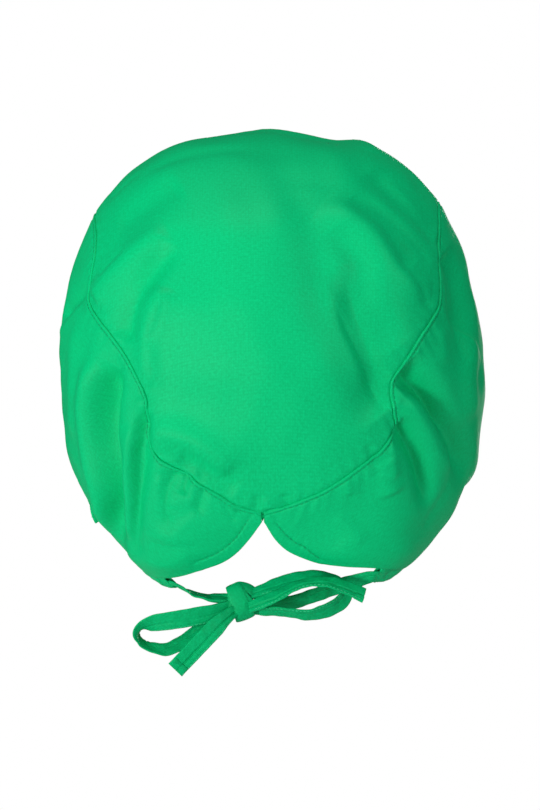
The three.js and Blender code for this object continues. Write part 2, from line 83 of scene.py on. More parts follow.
# Main folds: height and breadth as shares of the half width, then points in degrees round and up
mainFolds = [
    (0.032, 0.085, [(-31, 32), (-47, 20), (-52, 14)]),
    (-0.042, 0.07, [(-29, 29), (-37, 14), (-40, 4)]),
    (0.032, 0.06, [(-28, 17), (-30, 10), (-32, 3), (-32, -8)]),
    (-0.016, 0.1, [(-34, 47), (-53, 34)]),
    (-0.045, 0.125, [(14, 46), (13, 25), (20, 7), (28, -8), (32, -14)]),
    (0.03, 0.09, [(17, 41), (26, 35), (32, 27), (38, 20), (47, 16)]),
    (-0.026, 0.07, [(20, 34), (24, 25), (28, 12), (34, 2)]),
    (-0.022, 0.07, [(28, 43), (35, 36), (38, 29), (42, 23)]),
    (-0.026, 0.09, [(43, 52), (49, 41), (59, 32)]),
    (0.034, 0.07, [(-34, -19), (-24, -20), (-17, -24), (-11, -30)]),
    (-0.024, 0.06, [(-26, -25.5), (-18, -30), (-10, -35)]),
    (0.045, 0.2, [(-125, 72), (-180, 66), (-212, 70)]),
    (-0.02, 0.11, [(-100, 80), (0, 84), (90, 76)]),
    (0.02, 0.08, [(98, 68), (76, 65), (60, 60)]),
    (-0.026, 0.07, [(-58, 18), (-77, 11)]),
    (0.02, 0.08, [(-62, 8), (-66, -20)]),
    (-0.085, 0.075, [(-43.5, -3), (-48.5, -12), (-51, -22), (-52, -36), (-63, -48)]),
    (0.042, 0.065, [(-51, -1), (-56, -11), (-58.5, -22), (-60, -35), (-68, -46)]),
    (0.048, 0.065, [(-38, -17), (-43, -32), (-49, -46)]),
    (-0.056, 0.05, [(-34.5, -13), (-37.5, -24), (-42, -36), (-49, -48)]),
    (0.022, 0.13, [(-29, -30), (-33, -46)]),
    (-0.018, 0.05, [(-26, -29), (-29, -36), (-26, -41)]),
    (0.022, 0.07, [(-62, -48), (-42, -50), (-26, -49)]),
    (-0.06, 0.11, [(62, 28), (64, 20), (60, 6)]),
    (0.034, 0.09, [(67, 6), (63, -4), (67, -16)]),
    (-0.074, 0.08, [(36.5, -3), (41, -7), (48, -13), (56, -21), (70, -30)]),
    (0.034, 0.06, [(38, -10), (45, -15.5), (52, -22), (60, -28)]),
    (-0.05, 0.055, [(35.5, -17), (40.5, -22), (45.5, -28), (50, -36)]),
    (0.022, 0.07, [(31, -26), (36, -34)]),
    (-0.03, 0.08, [(74, -35), (97, -38)]),
    (0.05, 0.12, [(-94, -42), (-108, -35)]),
    (0.02, 0.12, [(90, -42), (106, -34)]),
    (0.018, 0.1, [(-150, 32), (-158, 52)]),
    (0.018, 0.1, [(150, 32), (158, 52)]),
    (-0.016, 0.09, [(-168, 32), (-175, 55)]),
    (-0.016, 0.09, [(132, 36), (140, 55)]),
    (-0.016, 0.09, [(-128, 38), (-138, 58)]),
]

# Sharper creases that only the finished cloth has: height, breadth, sharpness (2 is round), points
creases = [
    (-0.012, 0.022, 1.2, [(-27, 15), (-29, 8), (-32, 2)]),
    (-0.022, 0.032, 1.4, [(-44, -5), (-48, -13), (-50, -23), (-51, -35), (-58, -46)]),
    (-0.014, 0.034, 1.5, [(17, 14), (22, 4), (28, -8), (32.5, -15)]),
    (-0.014, 0.03, 1.3, [(-60, 18), (-70, 14), (-79, 10)]),
    (0.01, 0.03, 1.6, [(-60, 14), (-70, 10), (-79, 6)]),
    (0.018, 0.06, 1.8, [(14, 22), (20, 5), (27, -9)]),
    (-0.042, 0.075, 1.6, [(20, 24), (24, 10), (28.5, -2), (34, -13)]),
    (-0.022, 0.03, 1.3, [(35.5, -17), (40.5, -22.5), (45.5, -28), (50, -36)]),
    (-0.026, 0.04, 1.4, [(36, -3), (41, -7), (48, -13), (55, -21)]),
    (-0.016, 0.026, 1.3, [(-35, -14), (-38, -24), (-42, -36), (-48, -46)]),
    (0.01, 0.035, 1.7, [(-31, -24), (-33, -33), (-33, -42)]),
    (-0.036, 0.036, 1.5, [(-27.5, -29), (-31, -34), (-32.5, -39), (-31, -43)]),
    (-0.026, 0.026, 1.5, [(-24.5, -30), (-26.5, -35)]),
    (0.012, 0.03, 1.8, [(-29, -32), (-30, -38)]),
    (-0.014, 0.03, 1.5, [(-41, -1.5), (-44, -4.5), (-49, -7.5)]),
    (-0.02, 0.024, 1.5, [(-19.5, -33.5), (-23, -40)]),
    (-0.008, 0.02, 1.5, [(-10.5, -39.5), (-12, -43)]),
    (-0.01, 0.024, 1.5, [(-4, -36), (-5, -40.5)]),
    (0.008, 0.024, 1.7, [(-1, -37), (-0.5, -40.5)]),
    (-0.012, 0.024, 1.5, [(4, -36), (5, -39.5)]),
    (-0.009, 0.024, 1.6, [(27, -22), (29, -26)]),
    (0.01, 0.03, 1.7, [(33, -23), (36, -30)]),
    (-0.01, 0.026, 1.5, [(29, -25.5), (31, -30)]),
    (0.009, 0.028, 1.7, [(23, -30.5), (24, -35)]),
    (-0.008, 0.026, 1.6, [(-43, 27), (-52, 20)]),
    (-0.01, 0.04, 1.7, [(33, 43), (43, 32), (50, 24)]),
    (0.01, 0.04, 1.8, [(48, 50), (54, 40), (60, 31)]),
    (-0.01, 0.035, 1.6, [(36, 26), (42, 18), (45, 12)]),
    (0.01, 0.05, 1.9, [(50, 8), (50, -2)]),
    (-0.012, 0.045, 1.7, [(58, 24), (57, 10), (60, -2)]),
    (-0.01, 0.03, 1.6, [(60, -30), (52, -42)]),
    (0.008, 0.04, 1.9, [(20, -40), (30, -45)]),
    (-0.008, 0.05, 1.8, [(10, -42), (24, -47)]),
    (-0.01, 0.06, 1.8, [(-100, 30), (-106, 5), (-98, -18)]),
    (0.01, 0.05, 1.8, [(-118, 26), (-124, 4)]),
    (-0.01, 0.05, 1.7, [(100, 30), (106, 6), (97, -16)]),
    (0.01, 0.05, 1.8, [(120, 26), (126, 5)]),
    (-0.008, 0.04, 1.7, [(-62, 52), (-72, 42)]),
    (-0.008, 0.05, 1.8, [(-10, 66), (-40, 60), (-58, 50)]),
    (-0.008, 0.04, 1.7, [(170, 34), (176, 60)]),
    (-0.008, 0.04, 1.7, [(-142, 36), (-152, 56)]),
]

# The seam and the lower edge, a row for each station: seam round, seam up, edge round, edge up
leftStations = [
    (-2.8, -41, -2.8, -43.4), (-10, -39, -7, -47.5), (-15, -36, -12, -51), (-20, -33, -18, -53),
    (-26, -29, -26, -53.6), (-32, -25, -36, -54.2), (-35, -21, -45, -54.5), (-34.5, -16, -53, -54.5),
    (-33.5, -10, -61, -54), (-37, -3, -69, -53), (-44, 5, -77, -50), (-49, 9, -85, -46),
    (-56, 15, -92, -42), (-57, 20, -100, -38), (-59, 27, -108, -33), (-67, 34, -116, -28),
    (-82, 39, -126, -21), (-102, 40, -140, -12), (-130, 36, -158, -5), (-155, 31, -170, -1),
    (-180, 29, -180, 0),
]
rightStations = [
    (-2.2, -41, -2, -43.6), (5, -39, 1.5, -48), (12, -36, 6, -51), (16, -34, 12, -52.4),
    (22, -30, 19, -52.8), (26, -27, 26, -51.8), (30, -24, 33, -50.6), (33, -21, 39, -50.2),
    (35, -18, 46, -50.6), (33.5, -13, 54, -51.6), (34, -6, 62, -52.4), (36, -2, 69, -52),
    (40, 4, 77, -50), (45, 9, 85, -46), (49, 13, 92, -42), (51.5, 18, 98, -39),
    (54.5, 24, 104, -35), (60, 31, 111, -31), (70, 39, 119, -26), (85, 43, 129, -19),
    (105, 42, 143, -12), (130, 37, 159, -5), (155, 31, 170, -1),
]
stations = np.array(leftStations + [(a - 360, b, c - 360, d) for a, b, c, d in rightStations[::-1]])
lastStation = len(stations) - 1


# A smooth curve through four values in a row, at a share of the way from the second to the third
def throughFour(before, here, after, beyond, t):
    bend = 2 * before - 5 * here + 4 * after - beyond
    return here + 0.5 * t * (after - before + t * (bend + t * (3 * (here - after) + beyond - before)))


def eased(share):
    return share * share * (3 - 2 * share)


def unit(vectors):
    return vectors / np.linalg.norm(vectors, axis=-1, keepdims=True)


def turnSteps(count):
    return [2 * math.pi * n / count for n in range(count)]


# Small waves that run along a piece and slant across it; each row is height, pace and slant
def slantWaves(waves, run, across):
    return sum(height * math.sin(run / mm * pace + slant * across) for height, pace, slant in waves)


def throughRows(rows, place):
    rows = np.asarray(rows, float)
    place = np.atleast_1d(np.asarray(place, float))
    first = np.clip(np.floor(place).astype(int), 0, len(rows) - 2)
    t = (place - first)[:, None]
    return throughFour(*(rows[np.clip(first + n, 0, len(rows) - 1)] for n in (-1, 0, 1, 2)), t)


def shareAt(roundDeg, up):
    rising = bagSections[:, 0]
    i = np.clip(np.searchsorted(rising, up, side="right") - 1, 0, len(rising) - 2)
    t = np.clip((up - rising[i]) / (rising[i + 1] - rising[i]), 0, 1)
    ring = throughRows(bagSections[:, 1:], i + t)
    ways = ring.shape[1]
    place = (-roundDeg * ways / 360) % ways
    first = np.floor(place).astype(int)
    index = np.arange(len(place))
    return throughFour(*(ring[index, (first + n) % ways] for n in (-1, 0, 1, 2)), place - first)


def wayAt(roundDeg, up):
    a, e = np.radians(roundDeg), np.radians(up)
    return np.stack([np.cos(e) * np.sin(a), -np.cos(e) * np.cos(a), np.sin(e)], 1)


def plainPoint(roundDeg, up):
    roundDeg = np.atleast_1d(np.asarray(roundDeg, float))
    up = np.atleast_1d(np.asarray(up, float))
    way = wayAt(roundDeg, up)
    half = np.array([form["halfWidth"], form["halfDepth"], form["halfHeight"]])
    radius = shareAt(roundDeg, up) / np.linalg.norm(way / half, axis=1)
    return way * radius[:, None] + form["middle"]


# Steps between two points of a fold, how many breadths it reaches, and how it fades at its ends
folds = {"steps": 6, "reach": 3.2, "fade": 0.28, "mainEnd": 0.3, "creaseEnd": 0.05, "roundSharp": 2}


def foldRise(points, height, breadth, sharp, end, path):
    count = folds["steps"] * (len(path) - 1)
    angles = throughRows(path, np.arange(count + 1) / folds["steps"])
    line = plainPoint(angles[:, 0], angles[:, 1])
    reach = folds["reach"] * breadth * form["halfWidth"]
    centre = line.mean(0)
    span = np.linalg.norm(line - centre, axis=1).max() + reach
    near = np.flatnonzero(((points - centre) ** 2).sum(1) < span * span)
    some = points[near]
    least = np.full(len(some), np.inf)
    place = np.zeros(len(some))
    for n in range(count):
        step = line[n + 1] - line[n]
        along = np.clip((some - line[n]) @ step / (step @ step), 0, 1)
        gap = ((some - line[n] - along[:, None] * step) ** 2).sum(1)
        closer = gap < least
        least[closer] = gap[closer]
        place[closer] = (n + along[closer]) / count
    ease = eased(np.clip(np.minimum(place, 1 - place) / folds["fade"] + end, 0, 1))
    share = np.sqrt(least) / (breadth * form["halfWidth"])
    rise = np.zeros(len(points))
    rise[near] = height * form["halfWidth"] * ease * np.exp(-share ** sharp)
    return rise


def clothPoint(roundDeg, up):
    plain = plainPoint(roundDeg, up)
    rise = np.zeros(len(plain))
    for height, breadth, path in mainFolds:
        rise += foldRise(plain, height, breadth, folds["roundSharp"], folds["mainEnd"], path)
    for height, breadth, sharp, path in creases:
        rise += foldRise(plain, height, breadth, sharp, folds["creaseEnd"], path)
    return plain + unit(plain - form["middle"]) * rise[:, None]


# Soft, seeded waves over the cloth; each row is wavelength and height in millimetres
def softNoise(points, seed, octaves, wavesEach=6):
    rng = np.random.default_rng(seed)
    total = np.zeros(len(points))
    for wavelength, height in octaves:
        for n in range(wavesEach):
            way = unit(rng.normal(size=3))
            phase = rng.uniform(0, 2 * math.pi)
            total += height / 2.5 * np.sin(points @ way * (2 * math.pi / (wavelength * mm)) + phase)
    return total * mm


# A seeded wobble along a run, between about -1 and 1, made of four waves
def runNoise(run, seed, wavelength):
    rng = np.random.default_rng(seed)
    total = np.zeros_like(run)
    for share in (1, 0.73, 0.52, 0.41):
        total += np.sin(run * (2 * math.pi / (wavelength * mm * share * 1.4)) + rng.uniform(0, 6.28))
    return total / 2.4


def gridNormals(grid, ring=False):
    if ring:
        padded = np.concatenate([grid[-1:], grid, grid[:1]])
        across = (padded[2:] - padded[:-2]) / 2
    else:
        across = np.gradient(grid, axis=0)
    rise = np.gradient(grid, axis=1)
    normal = np.cross(across, rise)
    normal /= np.linalg.norm(normal, axis=2)[..., None] + 1e-12
    outward = ((grid - form["middle"]) * normal).sum(2)
    return normal * np.where(outward.mean() < 0, -1, 1)


def newObject(name, corners, faces, material, flatCoords=None):
    mesh = bpy.data.meshes.new(name)
    mesh.from_pydata(np.asarray(corners).tolist(), [], faces)
    mesh.validate()
    if flatCoords is not None:
        layer = mesh.uv_layers.new(name="clothFlat")
        loops = np.zeros(len(mesh.loops), int)
        mesh.loops.foreach_get("vertex_index", loops)
        layer.data.foreach_set("uv", np.asarray(flatCoords)[loops].astype(np.float32).ravel())
    mesh.polygons.foreach_set("use_smooth", [True] * len(mesh.polygons))
    mesh.materials.append(material)
    mesh.update()
    made = bpy.data.objects.new(name, mesh)
    bpy.context.scene.collection.objects.link(made)
    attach(made, "root")
    return made


def faceOutward(made):
    work = bmesh.new()
    work.from_mesh(made.data)
    bmesh.ops.recalc_face_normals(work, faces=work.faces)
    work.to_mesh(made.data)
    work.free()


# A wall of cloth: the outer rows, a rolled lower edge and the inner rows, closed into one body
def wallBody(name, outer, inner, material, flat, bead=3):
    columns, rows = outer.shape[:2]
    middle = (outer[:, -1] + inner[:, -1]) / 2
    across = (outer[:, -1] - inner[:, -1]) / 2
    down = unit(outer[:, -1] - outer[:, -2])
    reach = np.linalg.norm(across, axis=1)[:, None]
    layers = [outer[:, r] for r in range(rows)]
    flats = [flat[:, r] for r in range(rows)]
    for n in range(1, bead + 1):
        a = math.pi * n / (bead + 1)
        layers.append(middle + across * math.cos(a) + down * reach * math.sin(a))
        flats.append(flat[:, -1])
    layers += [inner[:, r] for r in range(rows - 1, -1, -1)]
    flats += [flat[:, r] for r in range(rows - 1, -1, -1)]
    corners = np.stack(layers, 1)
    deep = corners.shape[1]
    faces = []
    for c in range(columns - 1):
        d = c + 1
        for r in range(deep):
            s = (r + 1) % deep
            faces.append((c * deep + r, d * deep + r, d * deep + s, c * deep + s))
    for c in (0, columns - 1):
        for r in range(rows - 1):
            back = deep - 1 - r
            faces.append((c * deep + r, c * deep + r + 1, c * deep + back - 1, c * deep + back))
        faces.append(tuple(c * deep + r for r in range(rows - 1, rows + bead + 1)))
    made = newObject(name, corners.reshape(-1, 3), faces, material, np.stack(flats, 1).reshape(-1, 2))
    faceOutward(made)
    return made


# Colours and materials
def hexLinear(code):
    parts = [int(code[n:n + 2], 16) / 255 for n in (1, 3, 5)]
    return tuple(c / 12.92 if c <= 0.04045 else ((c + 0.055) / 1.055) ** 2.4 for c in parts) + (1,)


def addNode(tree, kind, links=None, **settings):
    node = tree.nodes.new(kind)
    for name, value in settings.items():
        if name.startswith("in_"):
            key = name[3:]
            socket = node.inputs[int(key)] if key.isdigit() else node.inputs[key]
            socket.default_value = value
        else:
            setattr(node, name, value)
    for target, source in (links or {}).items():
        tree.links.new(source, node.inputs[target])
    return node


# Woven poly-cotton poplin: the eye sees a matt, slightly silky face with a fine crossed grain.
# Real threads are about 0.25 mm apart, too fine for the picture, so they are drawn faint and 1.3 mm
# apart, and the slubs that the eye sees at this size are 1.5 mm.
poplinLook = {"light": "#05C981", "deep": "#02B56D", "threadMm": 1.3, "weave": 0.12, "slubMm": 1.5,
              "grainFrom": 0.38, "grainTo": 0.78, "roughness": 0.52, "shine": 0.13, "ior": 1.35,
              "bump": 0.5, "bumpMm": 0.25}
# The tape is the same poplin, folded and pressed flat: a closer grain, and a green a little deeper than
# the cap's, which is painted shade for the ties that hang below it.
tapeGrainAndShadeLook = dict(poplinLook, threadMm=0.8, deep="#02A862", light="#05BE78")
waveRepeat = 0.314  # the wave texture repeats at this distance when its scale is 1


def newMaterial(name, look):
    material = bpy.data.materials.new(name)
    material.use_nodes = True
    shader = material.node_tree.nodes["Principled BSDF"]
    shader.inputs["Roughness"].default_value = look["roughness"]
    shader.inputs["Specular IOR Level"].default_value = look["shine"]
    return material, material.node_tree, shader


# The darker and the lighter colour of a look, mixed by a pattern, go to the shader's base colour
def colourBetween(tree, shader, look, pattern):
    mix = addNode(tree, "ShaderNodeMix", {0: pattern}, data_type="RGBA",
                  in_6=hexLinear(look["deep"]), in_7=hexLinear(look["light"]))
    tree.links.new(mix.outputs[2], shader.inputs["Base Color"])


def makeWoven(name, look):
    material, tree, shader = newMaterial(name, look)
    shader.inputs["IOR"].default_value = look["ior"]
    flat = addNode(tree, "ShaderNodeUVMap", uv_map="clothFlat").outputs["UV"]
    threads = {}
    for n, direction in enumerate(("X", "Y")):
        bands = addNode(tree, "ShaderNodeTexWave", {"Vector": flat}, bands_direction=direction,
                        in_Scale=waveRepeat / look["threadMm"], in_Distortion=0.7, in_Detail=1.0)
        threads[n] = bands.outputs["Fac"]
    crossed = addNode(tree, "ShaderNodeMath", threads, operation="MULTIPLY")
    slubs = addNode(tree, "ShaderNodeTexNoise", {"Vector": flat},
                    in_Scale=1 / look["slubMm"], in_Detail=3.0, in_Roughness=0.8)
    faint = addNode(tree, "ShaderNodeMath", {0: crossed.outputs[0]},
                    operation="MULTIPLY", in_1=look["weave"])
    grain = addNode(tree, "ShaderNodeMath", {0: faint.outputs[0], 1: slubs.outputs["Fac"]},
                    operation="ADD")
    spread = addNode(tree, "ShaderNodeMapRange", {"Value": grain.outputs[0]},
                     in_1=look["grainFrom"], in_2=look["grainTo"])
    colourBetween(tree, shader, look, spread.outputs[0])
    bump = addNode(tree, "ShaderNodeBump", {"Height": grain.outputs[0]},
                   in_Strength=look["bump"], in_Distance=look["bumpMm"] * mm)
    tree.links.new(bump.outputs["Normal"], shader.inputs["Normal"])
    return material


# Spun polyester sewing thread: a little glossier than the cloth, with a fine twist that breaks up
# its colour. It is dyed near the cap's green, and paler where it edges the tapes.
threadLook = {"light": "#12B474", "deep": "#05945A", "twistMm": 0.8, "roughness": 0.5, "shine": 0.15}
paleThreadLook = dict(threadLook, light="#52DCA4", deep="#22BC80")


def makeThread(name, look):
    material, tree, shader = newMaterial(name, look)
    place = addNode(tree, "ShaderNodeTexCoord")
    twist = addNode(tree, "ShaderNodeTexNoise", {"Vector": place.outputs["Object"]},
                    in_Scale=1 / (look["twistMm"] * mm), in_Detail=2.0)
    colourBetween(tree, shader, look, twist.outputs["Fac"])
    return material


poplin = makeWoven("poly-cotton poplin, plain woven", poplinLook)
# The tape material's deeper green is painted shade; its cloth is the cap's own poplin.
tapeShadedCloth = makeWoven("poplin tape, folded and edge-stitched, shade-darkened", tapeGrainAndShadeLook)
thread = makeThread("polyester sewing thread, green", threadLook)
paleThread = makeThread("polyester sewing thread, pale green", paleThreadLook)
print("materials made")

# The crown and band share the seam, so both are laid out from the same columns. The band's columns
# leave the seam squarely for "lead" degrees, and the crown's meet at "heartUp" degrees up the back.
cloth = {"thick": 0.7 * mm, "hemThick": 1.3 * mm, "perStation": 10, "crownRows": 92, "bandRows": 70,
         "ridge": 0.38 * mm, "ridgeWidth": 2.1 * mm, "groove": 0.55 * mm, "stitch": 2.9 * mm,
         "pucker": 0.6 * mm, "puckerRun": 7 * mm, "lead": 8, "allowance": 4.5 * mm, "heartUp": 30,
         "smooth": 9}
places = np.arange(lastStation * cloth["perStation"] + 1) / cloth["perStation"]
atStations = throughRows(stations, places)


def gridPoints(roundDeg, up):
    columns, rows = roundDeg.shape
    return clothPoint(roundDeg.ravel(), up.ravel()).reshape(columns, rows, 3)


def runsOf(grid, axis):
    steps = np.linalg.norm(np.diff(grid, axis=axis), axis=2)
    total = np.cumsum(steps, axis=axis)
    zero = np.zeros_like(np.take(total, [0], axis=axis))
    return np.concatenate([zero, total], axis=axis)


# Which way the band lies from the seam at each column, in degrees, smoothed along the seam
def seamAside():
    lean = np.cos(np.radians(atStations[:, 1]))
    way = unit(np.stack([np.gradient(atStations[:, 0]) * lean, np.gradient(atStations[:, 1])], 1))
    aside = np.stack([-way[:, 1], way[:, 0]], 1)
    pad = cloth["smooth"]
    wide = np.pad(aside, ((pad, pad), (0, 0)), mode="edge")
    aside = unit(sum(wide[n:n + len(aside)] for n in range(2 * pad + 1)))
    return aside / np.stack([lean, np.ones_like(lean)], 1)


def curved(start, second, third, end, t):
    u = 1 - t
    parts = [(u ** 3, start), (3 * t * u ** 2, second), (3 * t * t * u, third), (t ** 3, end)]
    return sum(weight * spot[:, None] for weight, spot in parts)


def bell(distance, middle, breadth):
    return np.exp(-((distance - middle) / breadth) ** 2)


# Waves of the band's cloth in millimetres, the ripples that the elastic draws in, and the hem's step
bandFeel = {"waves": [(60, 0.8), (34, 0.45), (18, 0.16)], "calmSeam": 25 * mm, "calmEdge": 12 * mm,
            "puckerMm": 11, "ripple": 1.1 * mm, "rippleLong": 7.5 * mm, "rippleRun": 11 * mm,
            "elastics": (-97, -265), "elasticWide": 18}
hem = {"step": 0.35 * mm, "stitchSink": 0.5 * mm, "wobble": 0.2 * mm, "fromSeam": 14 * mm,
       "leftReach": 28, "rightReach": 20, "browFrom": 114, "browWidth": 9.0,
       "leftWidth": 8.6, "leftTaper": 2.4, "rightWidth": 7.2}


def makeBandGrid():
    seamRound, seamUp, edgeRound, edgeUp = atStations.T
    aside = seamAside()
    s = np.arange(cloth["bandRows"] + 1) / cloth["bandRows"]
    t = s - 0.45 * np.sin(2 * math.pi * s) / (2 * math.pi)  # rows lie closer at the seam and edge
    length = np.hypot((edgeRound - seamRound) * np.cos(np.radians(seamUp)), edgeUp - seamUp)
    lead = np.minimum(0.3 * length, cloth["lead"])
    lastRound, lastUp = edgeRound + 0.2 * (seamRound - edgeRound), edgeUp + 0.3 * (seamUp - edgeUp)
    roundDeg = curved(seamRound, seamRound + aside[:, 0] * lead, lastRound, edgeRound, t)
    up = curved(seamUp, seamUp + aside[:, 1] * lead, lastUp, edgeUp, t)
    grid = gridPoints(roundDeg, up)
    fromSeam = runsOf(grid, 1)
    toEdge = fromSeam[:, -1:] - fromSeam
    alongSeam = runsOf(grid, 0)[:, :1] + 0 * fromSeam
    alongEdge = runsOf(grid, 0)[:, -1:] + 0 * fromSeam
    relief = softNoise(grid.reshape(-1, 3), 11, bandFeel["waves"]).reshape(fromSeam.shape)
    relief = relief * np.clip(fromSeam / bandFeel["calmSeam"], 0.1, 1)
    relief = relief * np.clip(toEdge / bandFeel["calmEdge"], 0.2, 1)
    past = np.clip(fromSeam - cloth["ridgeWidth"], 0, None)
    puckers = runNoise(alongSeam, 8, bandFeel["puckerMm"])
    nearSeam = np.exp(-past / cloth["puckerRun"]) * np.clip(past / (2 * mm), 0, 1)
    relief += cloth["pucker"] * puckers * nearSeam
    scallop = 0.8 + 0.2 * np.abs(np.sin(math.pi * alongSeam / cloth["stitch"]))
    across = np.clip(fromSeam / cloth["ridgeWidth"], 0, 1)
    relief += cloth["ridge"] * scallop * np.sin(math.pi * across) ** 0.7
    relief -= 0.3 * mm * bell(fromSeam, cloth["ridgeWidth"] + 0.3 * mm, 0.6 * mm)
    relief -= cloth["groove"] * bell(fromSeam, 0, 0.5 * mm)
    hemmed, hemWidth = hemAt(edgeRound)
    hemmed = hemmed[:, None] * np.clip(fromSeam[:, -1:] / hem["fromSeam"], 0, 1)
    fromStitch = hemWidth[:, None] - toEdge
    relief += hem["step"] * hemmed * np.clip(fromStitch / (0.8 * mm), 0, 1)
    relief -= hem["stitchSink"] * hemmed * bell(fromStitch, 0, 0.6 * mm)
    relief += hem["wobble"] * hemmed * runNoise(alongEdge, 21, 6) * bell(fromStitch, 0, 4 * mm)
    drawnIn = sum(np.clip(1 - np.abs(edgeRound - elastic) / bandFeel["elasticWide"], 0, 1)
                  for elastic in bandFeel["elastics"])[:, None]
    wander = 0.8 * runNoise(alongEdge, 31, 20)
    ripple = np.sin(2 * math.pi * alongEdge / bandFeel["rippleLong"] + wander)
    nearEdge = np.exp(-toEdge / bandFeel["rippleRun"])
    relief += bandFeel["ripple"] * ripple * np.clip(drawnIn * 2, 0, 1) * nearEdge
    grid = grid + gridNormals(grid) * relief[..., None]
    return grid, fromSeam, toEdge, alongSeam


# How much of a hem the edge shows at an angle, and how wide it is: beside the notch and at the brow
def hemAt(roundDeg):
    degrees = np.where(roundDeg < -180, roundDeg + 360, roundDeg)
    left = degrees < 0
    shownLeft = np.clip((hem["leftReach"] + degrees) / 2, 0, 1)
    shownRight = np.clip((hem["rightReach"] - degrees) / 2, 0, 1)
    brow = np.clip((np.abs(degrees) - hem["browFrom"]) / 4, 0, 1)
    leftWidth = hem["leftWidth"] - hem["leftTaper"] * np.clip(-degrees / 27, 0, 1)
    rightWidth = hem["rightWidth"] * np.clip((23 - degrees) / 12, 0.1, 1)
    width = np.where(brow > 0, hem["browWidth"], np.where(left, leftWidth, rightWidth))
    return np.maximum(np.where(left, shownLeft, shownRight), brow), width * mm


bandGrid, bandFromSeam, bandToEdge, bandAlong = makeBandGrid()


def makeBand():
    normal = gridNormals(bandGrid)
    hemmed, hemWidth = hemAt(atStations[:, 2])
    turned = hemmed[:, None] * (bandToEdge < hemWidth[:, None])
    thick = cloth["thick"] + (cloth["hemThick"] - cloth["thick"]) * turned
    inner = bandGrid - normal * thick[..., None]
    flat = np.stack([bandAlong * 1000, bandFromSeam * 1000], 2)
    made = wallBody("side_band_cloth", bandGrid, inner, poplin, flat)
    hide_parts("side_band")
    print("band made")
    return made, normal


# Extra columns carry the crown across the top of the notch, where the band has none
def closedRound(values, turn=0):
    first, last = values[0], values[-1]
    between = []
    for share in (0.2, 0.4, 0.6, 0.8):
        between.append(last * (1 - share) + (first + turn) * share)
    return np.concatenate([values, np.array(between)])


crownFeel = {"waves": [(70, 0.9), (38, 0.45), (20, 0.14)], "calmSeam": 30 * mm, "puckerMm": 12,
             "underDrop": 1.5 * mm}


# A row of the crown's seam allowance, which lies turned under the band, some way back from the seam
def allowanceRow(back):
    spots = []
    for c in range(len(bandGrid)):
        r = int(np.argmin(np.abs(bandFromSeam[c] - min(back, bandFromSeam[c, -1]))))
        spots.append(bandGrid[c, r] - bandNormal[c, r] * crownFeel["underDrop"])
    spots = closedRound(np.array(spots))
    tail = len(spots) - len(bandGrid)
    drop = back * np.sin(np.pi * (np.arange(tail) + 1) / (tail + 1))
    spots[len(bandGrid):, 2] -= 0.3 * drop
    return spots


def makeCrown():
    seamRound, seamUp = closedRound(atStations[:, 0], -360), closedRound(atStations[:, 1])
    starts = wayAt(seamRound, seamUp)
    heart = wayAt(np.zeros(1), np.array([cloth["heartUp"]]))[0]
    t = (np.arange(cloth["crownRows"]) / cloth["crownRows"]) ** 1.25
    angle = np.arccos(np.clip(starts @ heart, -1, 1))[:, None]
    ways = (starts[:, None] * (np.sin((1 - t) * angle) / np.sin(angle))[..., None]
            + heart * (np.sin(t * angle) / np.sin(angle))[..., None])
    roundDeg = np.degrees(np.arctan2(ways[..., 0], -ways[..., 1]))
    up = np.degrees(np.arcsin(np.clip(ways[..., 2], -1, 1)))
    grid = gridPoints(roundDeg, up)
    fromSeam = runsOf(grid, 1)
    alongSeam = runsOf(grid, 0)[:, :1] + 0 * fromSeam
    relief = softNoise(grid.reshape(-1, 3), 3, crownFeel["waves"]).reshape(fromSeam.shape)
    relief = relief * np.clip(fromSeam / crownFeel["calmSeam"], 0.1, 1)
    nearSeam = np.exp(-fromSeam / cloth["puckerRun"]) * np.clip(fromSeam / (2 * mm), 0, 1)
    relief += 0.6 * cloth["pucker"] * runNoise(alongSeam, 5, crownFeel["puckerMm"]) * nearSeam
    relief -= cloth["groove"] * bell(fromSeam, 0, 0.9 * mm)
    grid = grid + gridNormals(grid, True) * relief[..., None]
    grid[:, 0] = closedRound(bandGrid[:, 0])
    under = [allowanceRow(share * cloth["allowance"]) for share in (1, 0.62, 0.3)]
    grid = np.concatenate([np.stack(under, 1), grid], 1)
    normal = gridNormals(grid, True)
    inner = grid - normal * cloth["thick"]
    top = grid[:, -1].mean(0)
    tip = np.array([top, top - heart * cloth["thick"]])
    middle = np.cross(heart, [1.0, 0, 0])
    flat = np.stack([grid[..., 0], grid @ -middle], 2) * 1000
    made = crownBody("crown_panel_cloth", grid, inner, poplin, flat, tip)
    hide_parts("crown_panel")
    print("crown made")
    return made


# The crown's body: an outer and an inner wall, joined along the free edge and closed at the top
def crownBody(name, outer, inner, material, flat, tip):
    columns, rows = outer.shape[:2]
    faces = []
    corners = np.concatenate([outer.reshape(-1, 3), inner.reshape(-1, 3), tip])
    second = columns * rows
    for c in range(columns):
        d = (c + 1) % columns
        for r in range(rows - 1):
            a, b = c * rows + r, d * rows + r
            faces.append((a, b, b + 1, a + 1))
            faces.append((second + a, second + a + 1, second + b + 1, second + b))
        faces.append((c * rows, second + c * rows, second + d * rows, d * rows))
        faces.append((c * rows + rows - 1, d * rows + rows - 1, 2 * second))
        faces.append((second + d * rows + rows - 1, second + c * rows + rows - 1, 2 * second + 1))
    flatPoints = np.concatenate([flat.reshape(-1, 2), flat.reshape(-1, 2), flat[0, -1:], flat[0, -1:]])
    made = newObject(name, corners, faces, material, flatPoints)
    faceOutward(made)
    return made


band, bandNormal = makeBand()
crown = makeCrown()


# How far along a line each of its points is
def runsAlong(points):
    return np.concatenate([[0], np.cumsum(np.linalg.norm(np.diff(points, axis=0), axis=1))])


